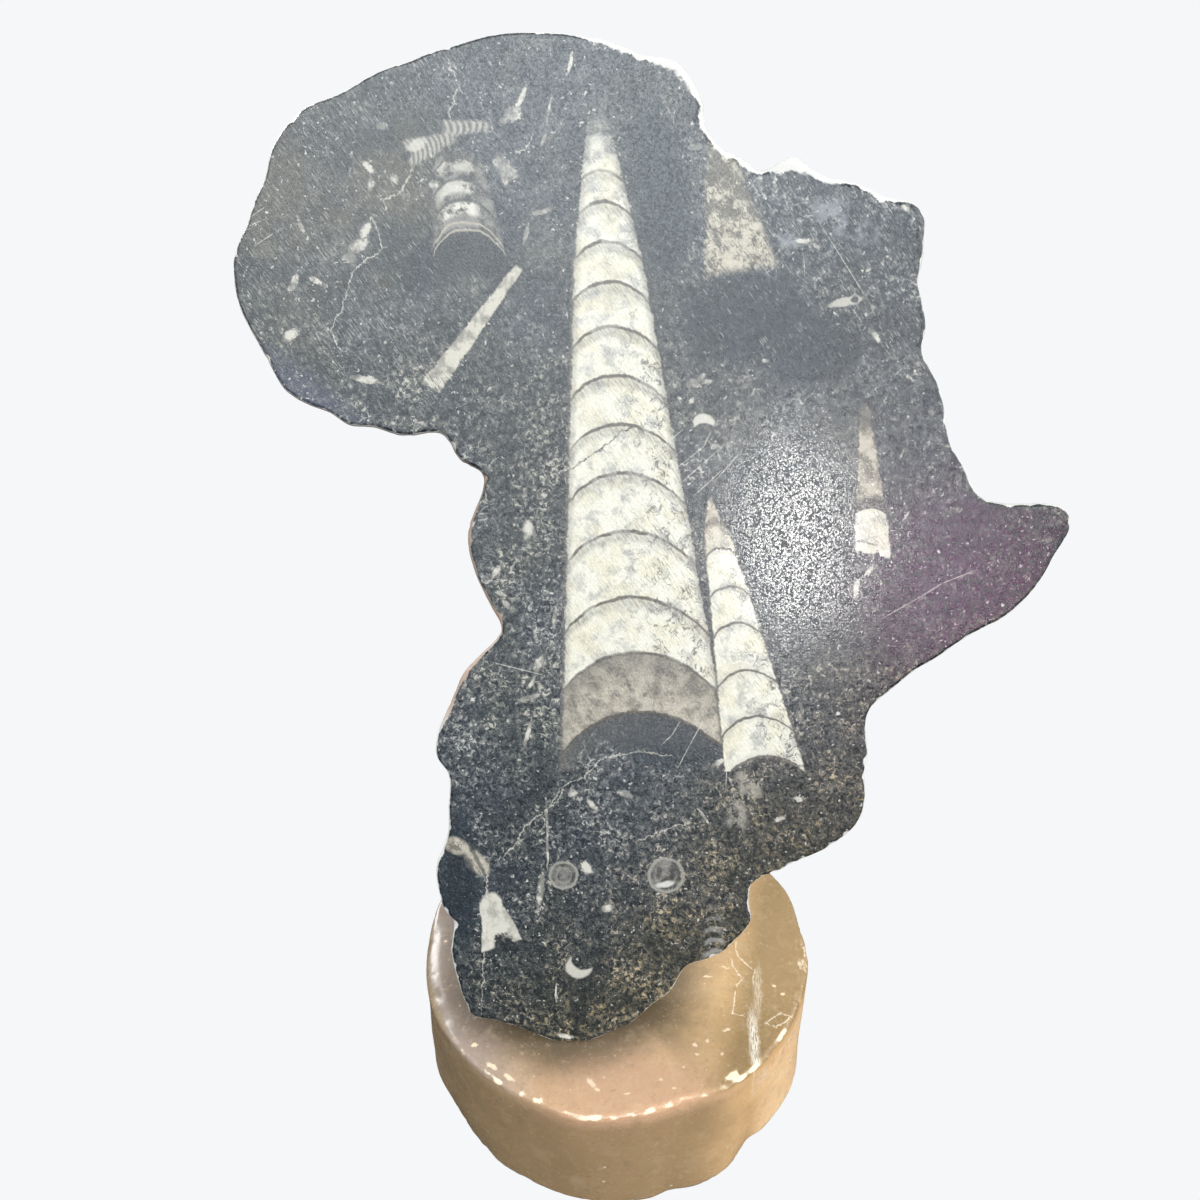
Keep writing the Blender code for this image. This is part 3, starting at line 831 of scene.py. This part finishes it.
def honey_stone(name):
    """The base: honey calcite, olive to gold, with white bruises at its rims."""
    r = material_recipe(name)
    place = r.millimetres()
    x, y, z = r.across_up_out(place)
    chipped = r.attribute("chipped")
    cloud = r.clouds(place, 17, 4, 0.55, 0.4)
    fine = r.clouds(place, 0.9, 4, 0.75)
    top = z.rise(28.2, 29.6)
    flat = r.flattened(r.shaken(place, 2.4, (1.6, 1.6, 1), 4, 0.7))
    plain = r.mix(cloud.rise(0.38, 0.62), (0.37, 0.262, 0.145), (0.5, 0.352, 0.21))
    stone = Stone(r, flat=flat, colour=plain)
    gold = (x + 24 * cloud - 0.15 * y).rise(18, 60)
    stone.lay(gold, (0.74, 0.47, 0.21))
    olive = (x + 16 * cloud).rise(-6, -32)
    stone.lay(olive * 0.8, (0.2, 0.162, 0.108))
    body = r.moved(place, (2, -37, 30), size=(30, 16, 12))
    peach = r.node("TexGradient", {"gradient_type": "SPHERICAL"}, {"Vector": body}, 1)
    stone.lay(peach.rise(0, 0.7) * 0.75, (0.54, 0.34, 0.215))
    # Painted shade: low on the front the wall is a duller brown.
    low = z.rise(29, 25) * (x + 10 * cloud).rise(32, 19)
    stone.lay(low * 0.85, (0.3, 0.205, 0.105))
    # Painted light: far to the right the wall is a bright gold.
    right = (x + 8 * cloud).rise(30, 38) * z.rise(29, 24)
    stone.lay(right * 0.9, (0.95, 0.66, 0.37))
    back = top * (x - 0.25 * y + 6 * cloud).rise(26, 35)
    stone.lay(back * 0.95, (0.27, 0.185, 0.085))
    # Painted shade and reflection of the slab: the top's left side is a dull mauve grey.
    dull = top * (x + 10 * cloud + 0.15 * y).rise(-14, -25)
    stone.lay(dull * 0.7, (0.27, 0.225, 0.205))
    # Painted shadow: the top is darker round the slab's foot.
    across, back_from = (x + 9.5) * (1 / 20.5), (y + 9) * (1 / 17)
    foot = (across * across + back_from * back_from).root() + (cloud - 0.5) * 0.35
    stone.lay(foot.rise(1.55, 0.95) * top * 0.85, (0.085, 0.066, 0.04))
    smudge = r.clouds(place, 5, 4, 0.65)
    stone.lay(smudge.rise(0.54, 0.78) * 0.35, (0.56, 0.43, 0.29))
    stone.lay(smudge.rise(0.44, 0.28) * 0.3, (0.17, 0.125, 0.07))
    stone.lay(fine.rise(0.54, 0.8) * 0.5, (0.66, 0.53, 0.37))
    stone.lay(fine.rise(0.46, 0.28) * 0.4, (0.17, 0.12, 0.07))
    # Fibres of white crystal that run back from the right of the front rim, and a pale patch
    # and a thin line below them.
    frayed = r.clouds(r.moved(place, turn=88, size=(2.4, 0.22, 3)), 1, 2, 0.6)
    milky = stone.oval(27.6, -25.2, 6.2, 0.9, 88, 0.7, (frayed - 0.5) * 7) * z.rise(29, 29.4)
    milky = milky.most(stone.oval(29.6, -13.3, 6, 0.7, 82, 0.7, (frayed - 0.5) * 6) * 0.35 * top)
    stone.lay(milky * frayed.rise(0.4, 0.54) * 0.95, (0.84, 0.8, 0.69))
    seam = abs(x - 27.1 + (fine - 0.5) * 0.5).rise(0.28, 0.1) * z.rise(19, 21) * y.rise(-20, -25)
    stone.lay(seam * z.rise(29.6, 29) * 0.6, (0.78, 0.62, 0.42))
    pane = abs(x - 29.2 + (z - 24) * 0.15).rise(1.5, 1) * abs(z - 24.4).rise(3, 2.4)
    stone.lay(pane * y.rise(-20, -25) * fine.rise(0.36, 0.56) * 0.4, (0.72, 0.6, 0.46))
    kinked = r.flattened(r.shaken(place, 1.3, (1.2, 1.2, 0), 3, 0.7))
    vein = stone.ovals(links_of(BASE_VEINS, 0.13), 0.4, 0, kinked) * top
    stone.lay(vein * fine.rise(0.36, 0.54) * 0.75, (0.8, 0.7, 0.54))
    blobs = stone.ovals(BASE_BLOBS, 0.35, (fine - 0.5) * 2, kinked) * top
    stone.lay(blobs * 0.8, (0.78, 0.64, 0.46))
    for size, reach, share in ((2.3, 0.18, 0.4), (1.1, 0.16, 0.45)):
        fleck = r.flecks(place, size, reach, 0.08, 1 - share)
        stone.lay(fleck * 0.8, (0.8, 0.67, 0.48))
    white = (chipped + (fine - 0.5) * 1.3).rise(0.34, 0.8) * chipped.rise(0, 0.1)
    stone.lay(white * 0.9, (0.85, 0.74, 0.54))
    # Light goes a little way into the stone, red the furthest.
    depths = {"Subsurface Weight": 0.25, "Subsurface Radius": (1, 0.6, 0.3),
              "Subsurface Scale": 4 * MM}
    roughness = 0.22 + 0.1 * smudge + 0.35 * white
    return r.finish(r.surface(stone.colour, roughness, r.bump(fine, 0.1 * MM, 0.35), **depths))


# ---- shapes

# A face with more corners than this is one of the large flat ones.
WALL_CORNERS = 4


def clip(number):
    return min(max(number, 0), 1)


def merged_copy(node):
    """A bmesh of a CAD node's shape, with its loose triangles joined up."""
    bm = bmesh.new()
    bm.from_mesh(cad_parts[node].data)
    bmesh.ops.remove_doubles(bm, verts=bm.verts[:], dist=MERGE)
    return bm


def level_faces(bm, level):
    return [f for f in bm.faces if all(abs(v.co.z - level) < MERGE for v in f.verts)]


def join_pairs(bm, faces):
    """Joins the triangles of a wall in pairs."""
    angles = {"angle_face_threshold": math.pi, "angle_shape_threshold": math.pi}
    bmesh.ops.join_triangles(bm, faces=faces, **angles)


def refine(bm, edges, cuts):
    bmesh.ops.subdivide_edges(bm, edges=edges, cuts=cuts, use_grid_fill=True)


def soften_loops(bm, passes):
    """Rounds the facets along each level loop, leaving its height alone."""
    bm.verts.ensure_lookup_table()
    pairs = []
    for vert in bm.verts:
        beside = [edge.other_vert(vert) for edge in vert.link_edges]
        beside = [other for other in beside if abs(other.co.z - vert.co.z) < MERGE]
        if len(beside) == 2:
            pairs.append((vert, beside[0], beside[1]))
    for _ in range(passes):
        placed = [(v.co.xy * 2 + a.co.xy + b.co.xy) / 4 for v, a, b in pairs]
        for (vert, _a, _b), place in zip(pairs, placed):
            vert.co.xy = place


def scoop(place, size):
    """Struck flakes: 1 at the middle of each hollow and 0 on the ridges between them, and a
    number from 0 to 1 of that hollow's own."""
    near, centres = noise.voronoi(place / size)
    reach = 2 * near[0] / max(near[0] + near[1], MERGE)
    return 1 - min(reach, 1) ** 2, (noise.cell(centres[0] * 7.3) + 1) / 2


def rise_of(edge):
    """How far one end of an edge is above the other."""
    return abs(edge.verts[0].co.z - edge.verts[1].co.z)


def lumps(place, size):
    """Smooth noise from about 0 to 1."""
    return (noise.noise(place / (size * MM)) + 1) / 2


def stand(name, data):
    made = bpy.data.objects.new(name, data)
    bpy.context.scene.collection.objects.link(made)
    return made


def object_of(bm, name, materials):
    """The object made from a bmesh, which it frees."""
    mesh = bpy.data.meshes.new(name)
    bm.to_mesh(mesh)
    bm.free()
    for material in materials:
        mesh.materials.append(material)
    return stand(name, mesh)


def finish_piece(bm, name, node, materials, sharp_angle):
    """Makes the piece. Its edges are sharp over sharp_angle and round its large flat faces."""
    for face in bm.faces:
        face.smooth = True
    for edge in bm.edges:
        flat = any(len(face.verts) > WALL_CORNERS for face in edge.link_faces)
        edge.smooth = not flat and edge.calc_face_angle(0) < math.radians(sharp_angle)
    piece = object_of(bm, name, materials)
    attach(piece, "root")
    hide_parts(node)


BROAD_FROM = (2, 135)
BROAD_FADE = (12, 25)
BROAD_BEVEL = 1.6
NARROW_BEVEL = 0.45
# The depth that the ground rim reaches behind the face, how round it is, and the depth of its
# steeper inner part.
RIM_DEPTH = 1.1
RIM_ROUND = 6
RIM_STEEP = 0.35
# How far apart the struck flakes of the slab are, from the large ones to the tiniest, and how
# deep below the face they begin and how much deeper they are at their fullest.
LARGE_FLAKES, SMALL_FLAKES, TINY_FLAKES, CRUMBS = 5.5, 2.1, 0.9, 0.9
FLAKES_FROM = 0.8
FLAKES_FADE = 2.5
# Where the rim is bruised white and painted with a highlight: place, reach along it, width there.
BRUISES_AND_SHEEN = (
    (20.4, 185.8, 8, 3.3), (41.5, 169, 6, 3.2), (47, 167.2, 6, 2), (33.5, 169.4, 4.5, 2.2),
    (25.6, 177, 6, 1.7), (57, 164.4, 5, 2), (9, 190.5, 9, 2), (29, 172.5, 5, 1.9),
    (-16.5, 101, 9, 1.1), (-15, 88, 8, 1.1), (-18.8, 74.6, 6, 1.4), (-23.3, 68, 6, 1.4),
)
PLAIN_BRUISE_AND_SHEEN = 0.5
# Far enough to read a part of the noise that nothing else reads.
ELSEWHERE = Vector((0.3, 0.1, 0.2))


def broad_bevel(place):
    """Share, 0 to 1, of the broad ground bevel here: on the upper right shore."""
    to_right = (place.x / MM - BROAD_FROM[0]) / BROAD_FADE[0]
    to_top = (place.y / MM - BROAD_FROM[1]) / BROAD_FADE[1]
    return clip(to_right) * clip(to_top)


def rim_share(place):
    """How far out a place on the ground rim is, 0 where the flat face ends and 1 at the outline,
    and how wide the rim is there in millimetres."""
    depth = -place.z / MM
    broad = broad_bevel(place) * BROAD_BEVEL
    if depth < RIM_STEEP:
        inset = 0.9 - 0.8 * depth / RIM_STEEP
    else:
        inset = 0.1 - 0.5 * (depth - RIM_STEEP) / (RIM_DEPTH - RIM_STEEP)
    inset += broad * (1 - depth / RIM_DEPTH)
    width = 1.3 + broad
    return clip(1 - (inset + 0.4) / width), width


def bruise_and_sheen_width(place):
    widest = PLAIN_BRUISE_AND_SHEEN
    for across, up, reach, width in BRUISES_AND_SHEEN:
        away = math.hypot(place.x / MM - across, place.y / MM - up) / reach
        widest = max(widest, width * (1 - away * away))
    return widest


def build_slab():
    """The slab's solid, refined with struck flakes round its edge and nicks in its bevel."""
    bm = merged_copy("fossil_slab")
    bmesh.ops.transform(bm, matrix=SLAB_PLACE.inverted(), verts=bm.verts[:])
    for vert in bm.verts:
        for level in (0, -SLAB_THICKNESS):
            if abs(vert.co.z - level) < 2 * MERGE:
                vert.co.z = level
    down = SLAB_PLACE.inverted().to_3x3() @ Vector((0, 0, -1))
    foot = [face for face in bm.faces if face.normal.dot(down) > 0.9999]
    flats = set()
    for faces in (level_faces(bm, 0), level_faces(bm, -SLAB_THICKNESS), foot):
        flats |= set(bmesh.ops.dissolve_faces(bm, faces=faces)["region"])
    join_pairs(bm, [face for face in bm.faces if face not in flats])
    wall = [face for face in bm.faces if len(face.verts) <= WALL_CORNERS]
    refine(bm, list({edge for face in wall for edge in face.edges}), 4)
    soften_loops(bm, 8)
    worn = bm.verts.layers.float.new("worn")
    bm.normal_update()
    rim_faces = {f for f in bm.faces if all(v.co.z > -(RIM_DEPTH + 0.01) * MM for v in f.verts)}
    moves = []
    for vert in bm.verts:
        place = vert.co
        outward = Vector((vert.normal.x, vert.normal.y, 0))
        if outward.length < 0.05:
            continue
        height = (SLAB_PLACE @ place).z - FOOT_LEVEL
        clear = clip(height / (2 * MM))
        depth = -place.z / MM
        outward.normalize()
        big, pick = scoop(Vector((place.x, place.y, place.z * 1.2)), LARGE_FLAKES * MM)
        small, chance = scoop(place, SMALL_FLAKES * MM)
        deep = clip((depth - FLAKES_FROM) / FLAKES_FADE)
        flake = 0.9 * big * pick * deep + 0.25 * small * chance * deep
        flake += 0.12 * lumps(place, CRUMBS) * deep
        rim = max(0, 1 - depth / 1.5)
        nick = small * max(0, chance - 0.55) / 0.45 * 0.8 * rim
        tiny, luck = scoop(place + ELSEWHERE, TINY_FLAKES * MM)
        nick += tiny * max(0, luck - 0.5) * 0.4 * rim
        out = NARROW_BEVEL * (1 - broad_bevel(place)) * max(0, 1 - depth / 0.36)
        move = outward * (out - flake - nick) * MM * clear
        # How wide the white rim is here: bruising, with a painted highlight.
        bruised = bruise_and_sheen_width(place) * (0.8 + 0.4 * noise.noise(place / (2.5 * MM))) + nick * 0.8
        if depth < RIM_DEPTH:
            share, width = rim_share(place)
            move.z = (depth - RIM_DEPTH * share ** RIM_ROUND) * MM
            vert[worn] = min(share * 20, 1) * max(0, 1 - (1 - share) * width / bruised)
        else:
            vert[worn] = max(0, 1 - (depth - RIM_DEPTH) / 1.6) * min(0.35 + bruised / 2, 1)
        moves.append((vert, move))
    for vert, move in moves:
        vert.co += move
    for face in bm.faces:
        face.material_index = 0 if face in rim_faces else 1
        if len(face.verts) > WALL_CORNERS and abs(face.normal.z) > 0.99:
            in_front = face.normal.z > 0
            face.material_index = 0 if in_front else 2
            for vert in face.verts:
                vert.co.z = 0 if in_front else -SLAB_THICKNESS
    bmesh.ops.transform(bm, matrix=SLAB_PLACE, verts=bm.verts[:])
    lowest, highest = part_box("fossil_slab")
    for vert in bm.verts:
        for axis in range(3):
            vert.co[axis] = min(max(vert.co[axis], lowest[axis]), highest[axis])
    stones = (
        fossil_face("polished_fossil_limestone"), rough_stone("struck_limestone_edge"),
        sawn_back("sawn_limestone_back"),
    )
    finish_piece(bm, "fossil_slab_polished", "fossil_slab", stones, 50)


# The flat top and underside get rings of faces, so that their rims can be worn.
CAP_RINGS = 9
CAP_SHRINK = 0.99
# How far apart the large and small chips of its rims are, how far from a rim they reach, and
# their depth.
RIM_CHIPS, RIM_NICKS = 3.4, 1.3
CHIPPED_REACH = 2.6
CHIPPED_DEPTH = 0.6
# The left of the top's rim is worn round: how far down, how wide, and where, in degrees.
ROUNDED_DROP = 1.7
ROUNDED_WIDTH = 4.2
ROUNDED_MIDDLE = 193
ROUNDED_REACH = 26


def worn_down(place):
    """How far down the rounded left of the rim has brought a place on the base."""
    way = math.degrees(math.atan2(place.y, place.x)) % 360
    side = clip((1 - abs(way - ROUNDED_MIDDLE) / ROUNDED_REACH) * 2.2)
    ring = max(BASE_RADIUS - place.xy.length, 0)
    inner = clip(1 - ring / (ROUNDED_WIDTH * MM)) ** 2
    upper = clip((place.z - BASE_HEIGHT) / (6 * MM) + 1)
    return ROUNDED_DROP * MM * side * inner * upper


def rim_line(place):
    """How white the thin chipped line on the base's top rim is, from its front to its right."""
    way = math.degrees(math.atan2(place.y, place.x)) % 360
    front = clip((way - 205) / 25) * (1 if way < 335 else 0.5)
    return front * min(max(lumps(place, 2.2) * 2.8 - 0.9, 0.25), 1)


def build_base():
    """The base's solid, refined with a hand-ground wall and chipped rims."""
    bm = merged_copy("stone_base")
    for level in (0, BASE_HEIGHT):
        bmesh.ops.dissolve_faces(bm, faces=level_faces(bm, level))
    join_pairs(bm, [face for face in bm.faces if len(face.verts) <= WALL_CORNERS])
    refine(bm, [edge for edge in bm.edges if rise_of(edge) < MERGE], 7)
    refine(bm, [edge for edge in bm.edges if rise_of(edge) > 2 * MM], 7)
    short = [edge for edge in bm.edges if 0.12 * MM < rise_of(edge) < 2 * MM]
    short = [e for e in short if min(v.co.z for v in e.verts) > BASE_HEIGHT - MM
             or max(v.co.z for v in e.verts) < MM]
    refine(bm, short, 2)
    for level in (0, BASE_HEIGHT):
        cap = [face for face in level_faces(bm, level) if len(face.verts) > WALL_CORNERS]
        for _ in range(CAP_RINGS):
            grown = bmesh.ops.extrude_face_region(bm, geom=cap)["geom"]
            bmesh.ops.delete(bm, geom=cap, context="FACES_ONLY")
            cap = [item for item in grown if isinstance(item, bmesh.types.BMFace)]
            rim = [item for item in grown if isinstance(item, bmesh.types.BMVert)]
            bmesh.ops.scale(bm, vec=(CAP_SHRINK, CAP_SHRINK, 1), verts=rim)
    soften_loops(bm, 24)
    chipped = bm.verts.layers.float.new("chipped")
    for vert in bm.verts:
        vert.co.z -= worn_down(vert.co)
    for vert in bm.verts:
        place = vert.co
        ring = max(BASE_RADIUS - place.xy.length, 0)
        for level, share in ((BASE_HEIGHT, 1), (0, 0.5)):
            gap = math.hypot(ring, place.z - level)
            close = max(0, 1 - gap / (CHIPPED_REACH * MM))
            if close == 0:
                continue
            big, pick = scoop(place, RIM_CHIPS * MM)
            small, chance = scoop(place, RIM_NICKS * MM)
            bite = big * max(0, pick - 0.6) / 0.4 * 1.1 + small * max(0, chance - 0.3) * 0.5
            bite *= close * share
            inward = Vector((-place.x, -place.y, 0)).normalized()
            inward.z = -1 if level else 1
            vert.co += inward * bite * CHIPPED_DEPTH * MM
            drop = (level - place.z) / MM
            bevel = clip(drop / 0.12) * clip((0.95 - drop) / 0.4)
            line = bevel * rim_line(place) if level else 0
            vert[chipped] = min(1, max(bite * 0.8 - 0.25, line))
    stones = (honey_stone("honey_calcite"),)
    finish_piece(bm, "stone_base_ground", "stone_base", stones, 60)


# ---- studio

FLOOR_TONE = tint(246, 247, 249)


def build_floor():
    bm = bmesh.new()
    bmesh.ops.create_grid(bm, x_segments=8, y_segments=8, size=4)
    r = material_recipe("pale_paper")
    strength = 0.06 + 0.94 * r.node("LightPath")
    glow = r.node("Emission", None, {"Color": FLOOR_TONE, "Strength": strength})
    floor = object_of(bm, "pale_floor", [r.finish(glow)])


# Where the studio's soft lights stand, how bright each is, and how near to its middle its edge
# begins and ends, as cosines.
SKY_LIGHTS = (
    ((1, -0.2, 0.3), 2.5, 0.6, 0.9), ((-1, 0, 0.15), 0.6, 0.6, 0.9),
    ((0.25, 0.6, 0.7), 0.6, 0.6, 0.9), ((0, -0.9, 0.45), 0.4, 0.6, 0.9),
    ((-0.68, 0.6, 0.42), 15, 0.96, 0.985), ((0.04, -0.7, 0.715), 2, 0.978, 0.998),
)


def build_sky():
    """Soft light from all round, brightest from a broad panel in front and above."""
    world = bpy.data.worlds.new("studio")
    bpy.context.scene.world = world
    world.use_nodes = True
    r = Recipe(world.node_tree)
    way = r.node("TexCoord")
    x, y, z = r.across_up_out(way)
    panel = z.rise(0.2, 0.95) * y.rise(-0.25, -0.5) * x.rise(0.5, 0.2) * x.rise(-0.6, -0.3)
    light = 0.12 + 5.5 * panel
    for toward, radiance, start, full in SKY_LIGHTS:
        facing = r.dot(way, tuple(Vector(toward).normalized()))
        light = light + radiance * facing.rise(start, full)
    hue = r.mix(panel, (1, 1, 1), (0.92, 1, 1.07))
    plain = r.node("Background", None, {"Color": hue, "Strength": light})
    seen = r.node("Background", None, {"Color": FLOOR_TONE, "Strength": 1})
    r.node("OutputWorld", None, {0: r.either(r.node("LightPath"), plain, seen)})


# The place on the slab's face that the lamps are aimed at.
LIT_PLACE = Vector((0.043, 0.101, 0))


def soft_light(name, way, distance, width, height, radiance, colour=(1, 1, 1)):
    """An oval soft light that stands in the given direction from the slab's face."""
    data = bpy.data.lights.new(name, "AREA")
    data.shape = "ELLIPSE"
    data.size = width
    data.size_y = height
    data.energy = radiance * math.pi * width * height
    data.color = colour
    light = stand(name, data)
    way = Vector(way).normalized()
    light.location = SLAB_PLACE @ LIT_PLACE + way * distance
    light.rotation_euler = way.to_track_quat("Z", "Y").to_euler()


CAMERA_PLACE = (-0.00329, -0.16364, 0.23527)
CAMERA_TILT = 55
CAMERA_LENS = 34.65


def build_camera():
    data = bpy.data.cameras.new("camera")
    data.sensor_width = 36
    data.lens = CAMERA_LENS
    data.clip_start = 0.01
    camera = stand("camera", data)
    camera.location = CAMERA_PLACE
    camera.rotation_euler = (math.radians(CAMERA_TILT), 0, 0)
    bpy.context.scene.camera = camera


def clear_startup():
    for name in ("Cube", "Light", "Camera"):
        if name in bpy.data.objects:
            bpy.data.objects.remove(bpy.data.objects[name], do_unlink=True)


def main():
    clear_startup()
    build_camera()
    build_floor()
    build_sky()
    soft_light("lamp", (37, -199.5, 89), 1.2, 0.12, 0.235, 32, (1, 0.99, 0.94))
    soft_light("pink_panel", (76, -204.7, 79), 1.2, 0.24, 0.24, 3, (1, 0.26, 0.78))
    build_slab()
    build_base()
    bpy.context.scene.view_settings.view_transform = "Standard"


main()
